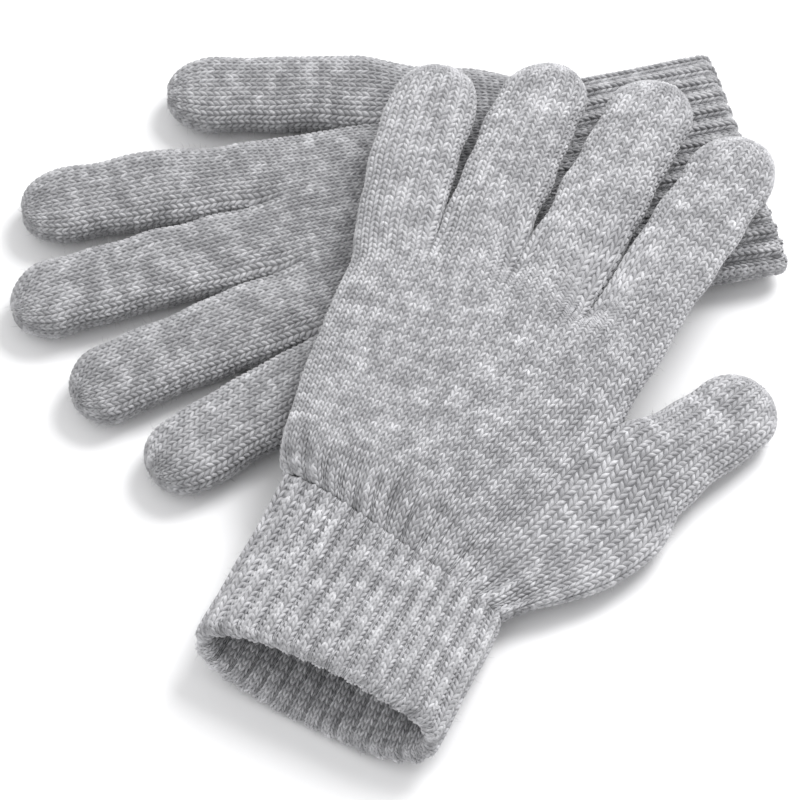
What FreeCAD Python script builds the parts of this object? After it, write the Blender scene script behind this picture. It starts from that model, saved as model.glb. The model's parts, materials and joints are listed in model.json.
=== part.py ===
import FreeCAD, Part
import math
import os
import Sketcher

# A pair of knitted gloves lying one across the other: the right glove flat on the table, palm up,
# and the left glove, back up, draped over it. Millimetres, +Z up, origin under the middle of the pair.
#
# Every glove has a frame of its own: x runs from the wrist to the fingertips, y to the little finger,
# and z up from the underside of its palm.

gloves = ("left", "right")
fingers = ("index", "middle", "ring", "little")

# alias, value, what it is (lengths in mm, angles in degrees)
sizes = [
    ("fabric", 2.2, "wall of the brushed stocking stitch"),
    ("gap", 0.3, "clear space between two bodies"),
    ("gloveHeight", 16.0, "thickness of a glove lying flat"),
    ("edgeRound", 5.0, "rounding of a finger's long edges"),
    ("tipWall", 3.0, "gathered fabric at a fingertip"),
    ("knucklePitch", 26.5, "knuckle line taken by one finger"),
    ("fingerSwell", 1.5, "finger lying flat, wider than its share of the knuckle line"),
    ("indexLength", 70.0, "knuckle line to fingertip"),
    ("middleLength", 79.0, "knuckle line to fingertip"),
    ("ringLength", 73.0, "knuckle line to fingertip"),
    ("littleLength", 64.0, "knuckle line to fingertip"),
    ("handLength", 104.0, "wrist seam to the middle knuckle"),
    ("middleSide", -9.2, "middle knuckle, from the glove's centre line"),
    ("wristWidth", 77.0, "drawn-in width at the wrist seam"),
    ("palmSideX", 20.0, "where the little side has reached its full width"),
    ("palmSideY", 45.0, "little side there, from the centre line"),
    ("ballX", 18.0, "widest point of the thumb's ball, from the wrist"),
    ("ballY", -60.0, "ball of the thumb, from the centre line"),
    ("ballWristY", -44.0, "thumb side of the palm at the wrist"),
    ("thumbCrotchY", -44.0, "crotch between thumb and index, from the centre line"),
    ("thumbWidth", 28.6, "width of the thumb lying flat"),
    ("thumbTuck", 0.6, "drawn in on each side at its crotch"),
    ("cuffLength", 48.0, "wrist seam to the folded rim"),
    ("ribWall", 2.2, "outer layer of the cuff"),
    ("facingWall", 1.8, "layer turned in behind it"),
    ("elasticSpace", 1.0, "space between the layers, where the elastic lies"),
    ("elasticThick", 0.6, "elastic yarn, across the layers"),
    ("elasticWide", 0.8, "elastic yarn, along the cuff"),
    ("elasticRows", 5.0, "rows of elastic yarn"),
    ("rimFold", 2.4, "depth of the fold at the rim"),
    ("facingStop", 4.0, "facing ends this far short of the wrist seam"),
    ("leftHeading", 66.0, "direction of the fingers, from +X"),
    ("leftWristX", -1.8, "wrist of the left glove"),
    ("leftWristY", -61.6, "wrist of the left glove"),
    ("leftFanPitch", 6.2, "spread from one finger to the next"),
    ("leftFanLean", 0.5, "turn of the middle finger"),
    ("leftThumbTurn", -22.0, "turn of the thumb"),
    ("leftThumbCrotchX", 59.0, "crotch of the thumb, from the wrist"),
    ("leftThumbLength", 50.0, "thumb beyond its crotch, bent down to the table"),
    ("leftMouthWidth", 78.0, "cuff mouth, standing open"),
    ("leftMouthHeight", 28.0, "cuff mouth, standing open"),
    ("rightHeading", 195.0, "direction of the fingers, from +X"),
    ("rightWristX", 60.5, "wrist of the right glove"),
    ("rightWristY", 69.8, "wrist of the right glove"),
    ("rightFanPitch", 7.3, "spread from one finger to the next"),
    ("rightFanLean", 1.5, "turn of the middle finger"),
    ("rightThumbTurn", -14.0, "turn of the thumb"),
    ("rightThumbCrotchX", 63.0, "crotch of the thumb, from the wrist"),
    ("rightThumbLength", 61.0, "thumb beyond its crotch"),
    ("rightMouthWidth", 86.0, "cuff mouth, pressed flat"),
    ("coveredStart", 24.0, "little finger of the lower glove held under the upper palm"),
    ("drapeTurn", -129.0, "way down off the glove beneath, in the left glove's frame"),
    ("drapeX", 18.5, "a point over the edge of the glove beneath"),
    ("drapeY", 43.5, "a point over the edge of the glove beneath"),
    ("drapeStart", 22.0, "level stretch past that edge"),
    ("drapeRun", 50.0, "run over which the palm comes down to the table"),
    ("stripReach", 150.0, "half length of the cutting shapes, more than any palm"),
    ("coverReach", 20.0, "how far a cutting shape runs out of an open end"),
]

doc = FreeCAD.newDocument("Gloves")
sheet = doc.addObject("Spreadsheet::Sheet", "Sizes")
for row, (alias, value, note) in enumerate(sizes, start=1):
    sheet.set("A%d" % row, str(value))
    sheet.set("B%d" % row, note)
    sheet.setAlias("A%d" % row, alias)
doc.recompute()


def size(alias):
    return float(getattr(sheet, alias))


def number(owner, expression):
    found = owner.evalExpression(expression)
    return float(getattr(found, "Value", found))


def bind(owner, target, expression):
    owner.setExpression(target, expression)


# ---------------------------------------------------------------- sketches

def name_last(sketch, name, expression):
    sketch.renameConstraint(sketch.ConstraintCount - 1, name)
    bind(sketch, "Constraints." + name, expression)


def body_sketch(body, name, plane, offset=None):
    sketch = body.newObject("Sketcher::SketchObject", name)
    for feature in body.Origin.OriginFeatures:
        if feature.Role == plane:
            sketch.AttachmentSupport = [(feature, "")]
    sketch.MapMode = "FlatFace"
    if offset:
        bind(sketch, "AttachmentOffset.Base.z", offset)
    return sketch


def polygon(sketch, corners):
    """Closed outline; every corner's distances from the origin are bound to the sheet."""
    spots = [FreeCAD.Vector(number(sketch, x), number(sketch, y), 0) for x, y in corners]
    count = len(spots)
    first = sketch.GeometryCount
    for k in range(count):
        sketch.addGeometry(Part.LineSegment(spots[k], spots[(k + 1) % count]), False)
    for k in range(count):
        line = first + k
        following = first + (k + 1) % count
        sketch.addConstraint(Sketcher.Constraint("Coincident", line, 2, following, 1))
    for k, (x, y) in enumerate(corners):
        sketch.addConstraint(Sketcher.Constraint("DistanceX", -1, 1, first + k, 1, spots[k].x))
        name_last(sketch, "x%d" % k, x)
        sketch.addConstraint(Sketcher.Constraint("DistanceY", -1, 1, first + k, 1, spots[k].y))
        name_last(sketch, "y%d" % k, y)


def stadium(sketch, wide, tall, name="ring"):
    """Flat tube section, its middle on the sketch's origin."""
    half = number(sketch, "(%s - (%s)) / 2" % (wide, tall))
    radius = number(sketch, "(%s) / 2" % tall)
    first = sketch.GeometryCount
    up = FreeCAD.Vector(0, 0, 1)
    right = FreeCAD.Vector(half, 0, 0)
    left = FreeCAD.Vector(-half, 0, 0)
    rise = FreeCAD.Vector(0, radius, 0)
    quarter = math.pi / 2
    sketch.addGeometry(Part.LineSegment(right + rise, left + rise), False)
    sketch.addGeometry(Part.ArcOfCircle(Part.Circle(left, up, radius), quarter, 3 * quarter), False)
    sketch.addGeometry(Part.LineSegment(left - rise, right - rise), False)
    sketch.addGeometry(Part.ArcOfCircle(Part.Circle(right, up, radius), -quarter, quarter), False)
    top, west, bottom, east = range(first, first + 4)
    for before, after in ((top, west), (west, bottom), (bottom, east), (east, top)):
        sketch.addConstraint(Sketcher.Constraint("Tangent", before, 2, after, 1))
    sketch.addConstraint(Sketcher.Constraint("PointOnObject", west, 3, -1))
    sketch.addConstraint(Sketcher.Constraint("Symmetric", west, 3, east, 3, -1, 1))
    sketch.addConstraint(Sketcher.Constraint("DistanceX", west, 3, east, 3, 2 * half))
    name_last(sketch, name + "Span", "%s - (%s)" % (wide, tall))
    sketch.addConstraint(Sketcher.Constraint("Radius", east, radius))
    name_last(sketch, name + "Radius", "(%s) / 2" % tall)


def finger_outline(sketch, start, base_half, full_half, flare, reach):
    """Finger in plan: sides that open along the fan, then run straight to a round tip."""
    x0 = number(sketch, start)
    narrow = number(sketch, base_half)
    wide = number(sketch, full_half)
    bend = x0 + (wide - narrow) / math.tan(math.radians(number(sketch, flare)))
    tip = number(sketch, reach) - wide
    up = FreeCAD.Vector(0, 0, 1)
    spots = [FreeCAD.Vector(x, y, 0) for x, y in
             ((x0, narrow), (x0, -narrow), (bend, -wide), (tip, -wide), (tip, wide), (bend, wide))]
    sketch.addGeometry(Part.LineSegment(spots[0], spots[1]), False)
    sketch.addGeometry(Part.LineSegment(spots[1], spots[2]), False)
    sketch.addGeometry(Part.LineSegment(spots[2], spots[3]), False)
    circle = Part.Circle(FreeCAD.Vector(tip, 0, 0), up, wide)
    sketch.addGeometry(Part.ArcOfCircle(circle, -math.pi / 2, math.pi / 2), False)
    sketch.addGeometry(Part.LineSegment(spots[4], spots[5]), False)
    sketch.addGeometry(Part.LineSegment(spots[5], spots[0]), False)
    base, lower_flare, lower, arc, upper, upper_flare = range(6)
    sketch.addConstraint(Sketcher.Constraint("Coincident", base, 2, lower_flare, 1))
    sketch.addConstraint(Sketcher.Constraint("Coincident", lower_flare, 2, lower, 1))
    sketch.addConstraint(Sketcher.Constraint("Tangent", lower, 2, arc, 1))
    sketch.addConstraint(Sketcher.Constraint("Tangent", arc, 2, upper, 1))
    sketch.addConstraint(Sketcher.Constraint("Coincident", upper, 2, upper_flare, 1))
    sketch.addConstraint(Sketcher.Constraint("Coincident", upper_flare, 2, base, 1))
    sketch.addConstraint(Sketcher.Constraint("Symmetric", base, 1, base, 2, -1))
    sketch.addConstraint(Sketcher.Constraint("Symmetric", lower, 1, upper, 2, -1))
    sketch.addConstraint(Sketcher.Constraint("Horizontal", lower))
    sketch.addConstraint(Sketcher.Constraint("DistanceX", -1, 1, base, 1, x0))
    name_last(sketch, "start", start)
    sketch.addConstraint(Sketcher.Constraint("DistanceY", base, 2, base, 1, 2 * narrow))
    name_last(sketch, "baseWidth", "2 * (%s)" % base_half)
    sketch.addConstraint(Sketcher.Constraint("Radius", arc, wide))
    name_last(sketch, "tipRadius", full_half)
    sketch.addConstraint(Sketcher.Constraint("DistanceX", -1, 1, arc, 3, tip))
    name_last(sketch, "tipCentre", "%s - (%s)" % (reach, full_half))
    sketch.addConstraint(Sketcher.Constraint("DistanceX", base, 1, lower, 1, bend - x0))
    name_last(sketch, "flareLength", "(%s - (%s)) / tan(%s)" % (full_half, base_half, flare))


# ---------------------------------------------------------------- where things are

def fan_radius(glove):
    return "(Sizes.knucklePitch / (2 * tan(Sizes.%sFanPitch / 2)))" % glove


def fan_turn(glove, step):
    """Turn of the line that lies 'step' fingers to the little side of the middle finger."""
    return "(Sizes.%sFanLean + %s * Sizes.%sFanPitch)" % (glove, step, glove)


def fan_point(glove, step, radius, axis):
    """Point on the knuckle fan, whose centre lies below the middle knuckle."""
    radius_to_chord = fan_radius(glove)
    if axis == "x":
        return "Sizes.handLength - %s * cos(Sizes.%sFanLean) + %s * cos%s" % (
            radius_to_chord, glove, radius, fan_turn(glove, step))
    return "Sizes.middleSide - %s * sin(Sizes.%sFanLean) + %s * sin%s" % (
        radius_to_chord, glove, radius, fan_turn(glove, step))


def corner_radius(glove):
    return "(%s / cos(Sizes.%sFanPitch / 2))" % (fan_radius(glove), glove)


def finger_steps():
    return {"index": -1, "middle": 0, "ring": 1, "little": 2}


def glove_place(glove, height):
    spin = FreeCAD.Rotation(FreeCAD.Vector(0, 0, 1), size(glove + "Heading"))
    spot = FreeCAD.Vector(size(glove + "WristX"), size(glove + "WristY"), height)
    return FreeCAD.Placement(spot, spin)


def level_of(glove):
    """Underside of a glove's palm and fingers: the left one lies on the right one."""
    return size("gloveHeight") + size("gap") if glove == "left" else 0.0


def finger_seat(glove, finger):
    step = finger_steps()[finger]
    x = number(sheet, fan_point(glove, step, fan_radius(glove), "x"))
    y = number(sheet, fan_point(glove, step, fan_radius(glove), "y"))
    return x, y, number(sheet, fan_turn(glove, step))


def thumb_seat(glove):
    turn = size(glove + "ThumbTurn")
    half = size("thumbWidth") / 2
    x = size(glove + "ThumbCrotchX") + half * math.sin(math.radians(turn))
    y = size("thumbCrotchY") - half * math.cos(math.radians(turn))
    return x, y, turn


# ---------------------------------------------------------------- hand

def covered_finger(glove, inset, cover):
    """Root of the little finger that stays with the palm, because the other glove lies on it."""
    turn = fan_turn(glove, 2)
    root = "(%s - %s)" % (root_half(), inset)
    end = "%s - %s" % (covered_half(), inset)
    reach = "(Sizes.coveredStart + %s)" % cover
    corners = []
    for along, across in (("0", root), (reach, "(%s)" % end), (reach, "-(%s)" % end), ("0", "-" + root)):
        corners.append(("%s + %s * cos%s - %s * sin%s" % (
            fan_point(glove, 2, fan_radius(glove), "x"), along, turn, across, turn),
                        "%s + %s * sin%s + %s * cos%s" % (
            fan_point(glove, 2, fan_radius(glove), "y"), along, turn, across, turn)))
    if cover != "0":
        corner = corner_radius(glove)
        corners.append((fan_point(glove, 1.5, corner, "x"), fan_point(glove, 1.5, corner, "y")))
    return corners


def finger_width():
    return "(Sizes.knucklePitch + Sizes.fingerSwell)"


def root_half():
    """Half width of a finger at its knuckle line, clear of its neighbours."""
    return "(Sizes.knucklePitch / 2 - Sizes.gap / 2)"


def covered_half():
    """Half width of the covered finger where it comes out from under the other glove."""
    return "(%s / 2 - Sizes.gap / 2)" % finger_width()


def flare_of(glove):
    """Opening of a finger's sides: half of what the fan leaves, so bent fingers stay clear too."""
    return "(Sizes.%sFanPitch / 4)" % glove


def palm_corners(glove, inset, cover):
    """Outline of the palm from the wrist round to the wrist. The outline of its inside is drawn in by
    'inset' on the closed sides and runs out by 'cover' at the wrist, the knuckles and the thumb."""
    corner = corner_radius(glove)
    beyond = "(%s + %s)" % (corner, cover)
    turn = "Sizes.%sThumbTurn" % glove
    crotch = "Sizes.%sThumbCrotchX" % glove

    def side(step, shift, axis):
        """A fan corner moved 'shift' to the little side."""
        radius = corner if cover == "0" else beyond
        part = "sin" if axis == "x" else "cos"
        sign = "-" if axis == "x" else "+"
        return "%s %s %s * %s%s" % (fan_point(glove, step, radius, axis), sign, shift, part,
                                    fan_turn(glove, step))

    corners = [
        ("-(%s)" % cover, "Sizes.wristWidth / 2 - %s" % inset),
        ("Sizes.palmSideX", "Sizes.palmSideY - %s" % inset),
    ]
    if glove == "right":
        corners += covered_finger(glove, inset, cover)
    else:
        corners.append((side(2.5, "-" + inset, "x"), side(2.5, "-" + inset, "y")))
    for step in (1.5, 0.5, -0.5):
        corners.append((side(step, "0", "x"), side(step, "0", "y")))
    corners.append((side(-1.5, inset, "x"), side(-1.5, inset, "y")))
    corners.append(("%s - %s" % (crotch, inset), "Sizes.thumbCrotchY + %s" % inset))
    if cover != "0":
        corners.append(("%s + %s * cos(%s) + %s * sin(%s)" % (crotch, cover, turn, inset, turn),
                        "Sizes.thumbCrotchY + %s * sin(%s) - %s * cos(%s)" % (cover, turn, inset, turn)))
    width = "(Sizes.thumbWidth - %s)" % inset
    corners.append(("%s + %s * sin(%s) + %s * cos(%s)" % (crotch, width, turn, cover, turn),
                    "Sizes.thumbCrotchY - %s * cos(%s) + %s * sin(%s)" % (width, turn, cover, turn)))
    corners.append(("Sizes.ballX + %s / 2" % inset, "Sizes.ballY + %s" % inset))
    corners.append(("-(%s)" % cover, "Sizes.ballWristY + %s" % inset))
    return corners


def palm_prism(glove, kind, inset, cover):
    sketch = doc.addObject("Sketcher::SketchObject", "%s_hand_%s_outline" % (glove, kind))
    polygon(sketch, palm_corners(glove, inset, cover))
    prism = doc.addObject("Part::Extrusion", "%s_hand_%s_prism" % (glove, kind))
    prism.Base = sketch
    prism.DirMode = "Normal"
    prism.Solid = True
    bind(prism, "LengthFwd", "3 * Sizes.gloveHeight")
    bind(prism, "LengthRev", "3 * Sizes.gloveHeight")
    return prism


def palm_strip(glove, kind, inset):
    """Layer of even height. The left glove's comes down past the edge of the glove it lies on."""
    low = inset
    high = "Sizes.gloveHeight - %s" % inset
    drop = "(Sizes.gloveHeight + Sizes.gap)"
    corners = [("-Sizes.stripReach", low), ("Sizes.stripReach", low),
               ("Sizes.stripReach", high), ("-Sizes.stripReach", high)]
    if glove == "left":
        foot = "Sizes.drapeStart + Sizes.drapeRun"
        corners = [("-Sizes.stripReach", low), ("Sizes.drapeStart", low),
                   (foot, "%s - %s" % (low, drop)), ("Sizes.stripReach", "%s - %s" % (low, drop)),
                   ("Sizes.stripReach", "%s - %s" % (high, drop)), (foot, "%s - %s" % (high, drop)),
                   ("Sizes.drapeStart", high), ("-Sizes.stripReach", high)]
    turn = math.radians(size("drapeTurn"))
    down = FreeCAD.Vector(math.cos(turn), math.sin(turn), 0)
    up = FreeCAD.Vector(0, 0, 1)
    sketch = doc.addObject("Sketcher::SketchObject", "%s_hand_%s_profile" % (glove, kind))
    polygon(sketch, corners)
    sketch.Placement = FreeCAD.Placement(
        FreeCAD.Vector(size("drapeX"), size("drapeY"), 0),
        FreeCAD.Rotation(down, up, down.cross(up), "XYZ"))
    strip = doc.addObject("Part::Extrusion", "%s_hand_%s_strip" % (glove, kind))
    strip.Base = sketch
    strip.DirMode = "Normal"
    strip.Solid = True
    bind(strip, "LengthFwd", "Sizes.stripReach")
    bind(strip, "LengthRev", "Sizes.stripReach")
    return strip


def palm_solid(glove, kind, inset, cover):
    shape = doc.addObject("Part::Common", "%s_hand_%s" % (glove, kind))
    shape.Base = palm_prism(glove, kind, inset, cover)
    shape.Tool = palm_strip(glove, kind, inset)
    return shape


def make_hand(glove):
    """Palm and back as one sleeve, open at the wrist, the knuckles and the thumb."""
    hand = doc.addObject("Part::Cut", glove + "_hand")
    hand.Base = palm_solid(glove, "outside", "0", "0")
    hand.Tool = palm_solid(glove, "inside", "Sizes.fabric", "Sizes.coverReach")
    hand.Label = glove + "_hand"
    hand.Placement = glove_place(glove, level_of(glove))
    return hand


# ---------------------------------------------------------------- fingers and thumb

def long_edges(shape, start, height):
    """Names of the edges round the top and bottom face, without the two at the open base."""
    names = []
    for number_of, edge in enumerate(shape.Edges, start=1):
        box = edge.BoundBox
        level = abs(box.ZMin - box.ZMax) < 1e-6 and abs(abs(box.ZMax) - height / 2) < 1e-6
        at_base = abs(box.XMax - start) < 1e-6
        if level and not at_base:
            names.append("Edge%d" % number_of)
    return names


def make_digit(label, start, base_half, full_width, flare, length, place):
    """Closed-end tube lying flat, open at its base, 'start' out from the knuckle line."""
    body = doc.addObject("PartDesign::Body", label)
    body.Label = label
    outline = body_sketch(body, label + "_outline", "XY_Plane")
    finger_outline(outline, "%s + Sizes.gap" % start, base_half, "%s / 2" % full_width, flare, length)
    pad = body.newObject("PartDesign::Pad", label + "_pad")
    pad.Profile = outline
    pad.Midplane = True
    bind(pad, "Length", "Sizes.gloveHeight")
    doc.recompute()
    rounding = body.newObject("PartDesign::Fillet", label + "_rounding")
    base_x = number(sheet, "%s + Sizes.gap" % start)
    rounding.Base = (pad, long_edges(pad.Shape, base_x, size("gloveHeight")))
    bind(rounding, "Radius", "Sizes.edgeRound")
    inside = body_sketch(body, label + "_inside", "XY_Plane")
    finger_outline(inside, start, "%s - Sizes.fabric" % base_half,
                   "%s / 2 - Sizes.fabric" % full_width, flare, "%s - Sizes.tipWall" % length)
    hollow = body.newObject("PartDesign::Pocket", label + "_hollow")
    hollow.Profile = inside
    hollow.Midplane = True
    bind(hollow, "Length", "Sizes.gloveHeight - 2 * Sizes.fabric")
    body.Placement = place
    doc.recompute()
    return body


def digit_place(glove, seat, level):
    x, y, turn = seat
    own = FreeCAD.Placement(FreeCAD.Vector(x, y, size("gloveHeight") / 2),
                            FreeCAD.Rotation(FreeCAD.Vector(0, 0, 1), turn))
    return glove_place(glove, level).multiply(own)


def finger_start(glove, finger):
    covered = glove == "right" and finger == "little"
    return "Sizes.coveredStart" if covered else "0"


def make_finger(glove, finger):
    start = finger_start(glove, finger)
    base_half = root_half() if start == "0" else covered_half()
    return make_digit("%s_%s" % (glove, finger), start, base_half, finger_width(), flare_of(glove),
                      "Sizes.%sLength" % finger,
                      digit_place(glove, finger_seat(glove, finger), level_of(glove)))


def make_thumb(glove):
    root = "(Sizes.thumbWidth / 2 - Sizes.thumbTuck)"
    return make_digit(glove + "_thumb", "0", root, "Sizes.thumbWidth", flare_of(glove),
                      "Sizes.%sThumbLength" % glove, digit_place(glove, thumb_seat(glove), 0.0))


# ---------------------------------------------------------------- cuff

def cuff_width(glove, share):
    return "(Sizes.wristWidth + (Sizes.%sMouthWidth - Sizes.wristWidth) * (%s))" % (glove, share)


def mouth_height(glove):
    """The left cuff stands open; the right one is pressed as flat as the rest of its glove."""
    return "Sizes.leftMouthHeight" if glove == "left" else "Sizes.gloveHeight"


def cuff_height(glove, share):
    return "(Sizes.gloveHeight + (%s - Sizes.gloveHeight) * (%s))" % (mouth_height(glove), share)


def cuff_ring(body, glove, name, distance, inset):
    """Section of the cuff at a distance from the wrist seam, drawn in by an inset."""
    share = "(%s) / Sizes.cuffLength" % distance
    sketch = body_sketch(body, name, "YZ_Plane", "-(%s)" % distance)
    stadium(sketch, cuff_width(glove, share) + " - 2 * (%s)" % inset,
            cuff_height(glove, share) + " - 2 * (%s)" % inset)
    return sketch


def cuff_loft(body, glove, kind, name, start, end, inset):
    loft = body.newObject("PartDesign::" + kind, name)
    loft.Profile = cuff_ring(body, glove, name + "_start", start, inset)
    loft.Sections = [cuff_ring(body, glove, name + "_end", end, inset)]
    loft.Ruled = True
    doc.recompute()
    return loft


def cuff_place(glove):
    return glove_place(glove, number(sheet, mouth_height(glove)) / 2)


def new_body(label):
    body = doc.addObject("PartDesign::Body", label)
    body.Label = label
    return body


def make_cuff_rib(glove):
    """Outer layer, with the fold that turns in at the rim."""
    body = new_body(glove + "_cuff_rib")
    rim = "Sizes.cuffLength - Sizes.rimFold"
    layers = "Sizes.ribWall + Sizes.elasticSpace + Sizes.facingWall"
    beyond = "Sizes.cuffLength + Sizes.gap"
    cuff_loft(body, glove, "AdditiveLoft", glove + "_rib_outside", "Sizes.gap", "Sizes.cuffLength", "0")
    cuff_loft(body, glove, "SubtractiveLoft", glove + "_rib_inside", "0", rim, "Sizes.ribWall")
    cuff_loft(body, glove, "SubtractiveLoft", glove + "_rib_mouth", rim, beyond, layers)
    body.Placement = cuff_place(glove)
    return body


def make_cuff_facing(glove):
    """Layer turned in behind the rib, from the fold nearly to the wrist."""
    body = new_body(glove + "_cuff_facing")
    rim = "Sizes.cuffLength - Sizes.rimFold"
    outer = "Sizes.ribWall + Sizes.elasticSpace"
    cuff_loft(body, glove, "AdditiveLoft", glove + "_facing_outside", "Sizes.facingStop", rim, outer)
    cuff_loft(body, glove, "SubtractiveLoft", glove + "_facing_inside", "Sizes.facingStop - Sizes.gap",
              rim + " + Sizes.gap", outer + " + Sizes.facingWall")
    body.Placement = cuff_place(glove)
    return body


def make_cuff_elastic(glove):
    """Rows of elastic yarn laid in between the two layers, each a closed ring."""
    rings = []
    rows = int(size("elasticRows"))
    margin = "(Sizes.ribWall + (Sizes.elasticSpace - Sizes.elasticThick) / 2)"
    run = "(Sizes.cuffLength - Sizes.rimFold - Sizes.facingStop)"
    across = FreeCAD.Vector(0, 1, 0)
    upward = FreeCAD.Vector(0, 0, 1)
    for row in range(rows):
        distance = "Sizes.facingStop + %s * %d / %d" % (run, row + 1, rows + 1)
        share = "(%s) / Sizes.cuffLength" % distance
        sketch = doc.addObject("Sketcher::SketchObject", "%s_elastic_row_%d" % (glove, row + 1))
        for name, inset in (("outer", margin), ("inner", margin + " + Sizes.elasticThick")):
            stadium(sketch, cuff_width(glove, share) + " - 2 * (%s)" % inset,
                    cuff_height(glove, share) + " - 2 * (%s)" % inset, name)
        sketch.Placement = FreeCAD.Placement(
            FreeCAD.Vector(-number(sheet, distance), 0, 0),
            FreeCAD.Rotation(across, upward, across.cross(upward), "XYZ"))
        ring = doc.addObject("Part::Extrusion", "%s_elastic_ring_%d" % (glove, row + 1))
        ring.Base = sketch
        ring.DirMode = "Normal"
        ring.Solid = True
        bind(ring, "LengthFwd", "Sizes.elasticWide / 2")
        bind(ring, "LengthRev", "Sizes.elasticWide / 2")
        rings.append(ring)
    group = doc.addObject("Part::Compound", glove + "_cuff_elastic")
    group.Links = rings
    group.Label = glove + "_cuff_elastic"
    group.Placement = cuff_place(glove)
    return group


# ---------------------------------------------------------------- the pair

def make_glove(glove):
    parts = [make_hand(glove)]
    parts += [make_finger(glove, finger) for finger in fingers]
    parts.append(make_thumb(glove))
    parts += [make_cuff_rib(glove), make_cuff_facing(glove), make_cuff_elastic(glove)]
    return parts


def centre_pair(parts):
    """Move the pair together so that the middle of its box stands on the origin."""
    box = FreeCAD.BoundBox()
    for part in parts:
        box.add(part.Shape.BoundBox)
    shift = FreeCAD.Vector(-box.Center.x, -box.Center.y, -box.ZMin)
    for part in parts:
        part.Placement = FreeCAD.Placement(shift, FreeCAD.Rotation()).multiply(part.Placement)
    doc.recompute()
    return shift


def check(parts):
    for item in doc.Objects:
        if "Invalid" in item.State or "Error" in item.State:
            raise RuntimeError("%s could not be made: %s" % (item.Name, item.State))
    for part in parts:
        if part.Shape.isNull() or not part.Shape.isValid():
            raise RuntimeError("%s has no sound shape" % part.Label)


def bend_line(glove, seat, start, level, shift):
    """Middle of the line that a digit bends about, on its upper skin, and the line's direction."""
    place = glove_place(glove, level).multiply(
        FreeCAD.Placement(FreeCAD.Vector(seat[0], seat[1], size("gloveHeight")),
                          FreeCAD.Rotation(FreeCAD.Vector(0, 0, 1), seat[2])))
    spot = place.multVec(FreeCAD.Vector(start, 0, 0)) + shift
    return spot, place.Rotation.multVec(FreeCAD.Vector(0, -1, 0))


def line_text(spot, way):
    return "%.4f %.4f %.4f  %.6f %.6f %.6f" % (tuple(spot) + tuple(way))


def print_lines(shift):
    """The bend lines and cuff mouths, for the record of this part."""
    for glove in gloves:
        lines = [(finger, finger_seat(glove, finger), number(sheet, finger_start(glove, finger)),
                  level_of(glove)) for finger in fingers]
        lines.append(("thumb", thumb_seat(glove), 0.0, 0.0))
        for name, seat, start, level in lines:
            spot, across = bend_line(glove, seat, start, level, shift)
            print("BEND", glove + "_" + name, line_text(spot, across))
        place = cuff_place(glove)
        mouth = place.multVec(FreeCAD.Vector(-size("cuffLength"), 0, 0)) + shift
        outward = place.Rotation.multVec(FreeCAD.Vector(-1, 0, 0))
        print("MOUTH", glove, line_text(mouth, outward))
        wrist = place.multVec(FreeCAD.Vector(0, 0, size("gloveHeight") / 2)) + shift
        across = place.Rotation.multVec(FreeCAD.Vector(0, 1, 0))
        print("WRIST", glove, line_text(wrist, across))


pieces = []
for glove in gloves:
    pieces += make_glove(glove)
doc.recompute()
moved = centre_pair(pieces)
check(pieces)
os.makedirs("parts", exist_ok=True)
for piece in pieces:
    piece.Shape.exportStep("parts/%s.step" % piece.Label)
    print("%-20s %9.1f mm3 in %d solid(s)" % (piece.Label, piece.Shape.Volume, len(piece.Shape.Solids)))
print_lines(moved)
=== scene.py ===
import json
import math
import bpy
import numpy as np
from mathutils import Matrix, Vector, noise


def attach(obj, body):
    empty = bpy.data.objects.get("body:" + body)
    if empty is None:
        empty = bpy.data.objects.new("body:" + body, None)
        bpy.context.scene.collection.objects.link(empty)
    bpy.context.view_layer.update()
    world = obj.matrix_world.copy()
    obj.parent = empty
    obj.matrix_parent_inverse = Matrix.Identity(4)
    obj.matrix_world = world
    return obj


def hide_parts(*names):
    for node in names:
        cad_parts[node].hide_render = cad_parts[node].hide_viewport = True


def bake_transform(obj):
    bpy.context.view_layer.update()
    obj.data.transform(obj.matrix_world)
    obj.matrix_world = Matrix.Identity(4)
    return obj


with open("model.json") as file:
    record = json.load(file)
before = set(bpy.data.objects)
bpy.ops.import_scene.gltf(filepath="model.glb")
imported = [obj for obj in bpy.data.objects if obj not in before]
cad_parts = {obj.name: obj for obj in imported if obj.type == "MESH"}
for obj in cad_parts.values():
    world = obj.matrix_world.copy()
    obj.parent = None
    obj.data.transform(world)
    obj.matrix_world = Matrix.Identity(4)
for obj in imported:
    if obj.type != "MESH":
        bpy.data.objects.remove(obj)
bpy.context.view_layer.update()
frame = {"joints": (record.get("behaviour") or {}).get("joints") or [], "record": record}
record = frame["record"]
joints = {j["name"]: j for j in frame["joints"]}
mounts = {m["name"]: m for m in record["mounts"]}

mm = 0.001
up = np.array((0.0, 0.0, 1.0))
fingers = ("little", "ring", "middle", "index")  # across the hand, from the little side


def smooth(t):
    t = np.clip(t, 0.0, 1.0)
    return t * t * (3 - 2 * t)


def linear(code):
    # sRGB hex to a linear colour
    parts = [int(code[k:k + 2], 16) / 255 for k in (1, 3, 5)]
    return tuple(c / 12.92 if c < 0.04045 else ((c + 0.055) / 1.055) ** 2.4 for c in parts) + (1.0,)


def addNode(tree, kind, settings=None, **links):
    # a link's name is the socket's, with _ for a blank; in1, in2 ... are sockets by number
    node = tree.nodes.new(kind)
    for name, value in (settings or {}).items():
        setattr(node, name, value)
    for name, value in links.items():
        if name[:2] == "in" and name[2:].isdigit():
            socket = node.inputs[int(name[2:])]
        else:
            socket = node.inputs[name.replace("_", " ")]
        if isinstance(value, bpy.types.NodeSocket):
            tree.links.new(value, socket)
        else:
            socket.default_value = value
    return node


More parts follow.
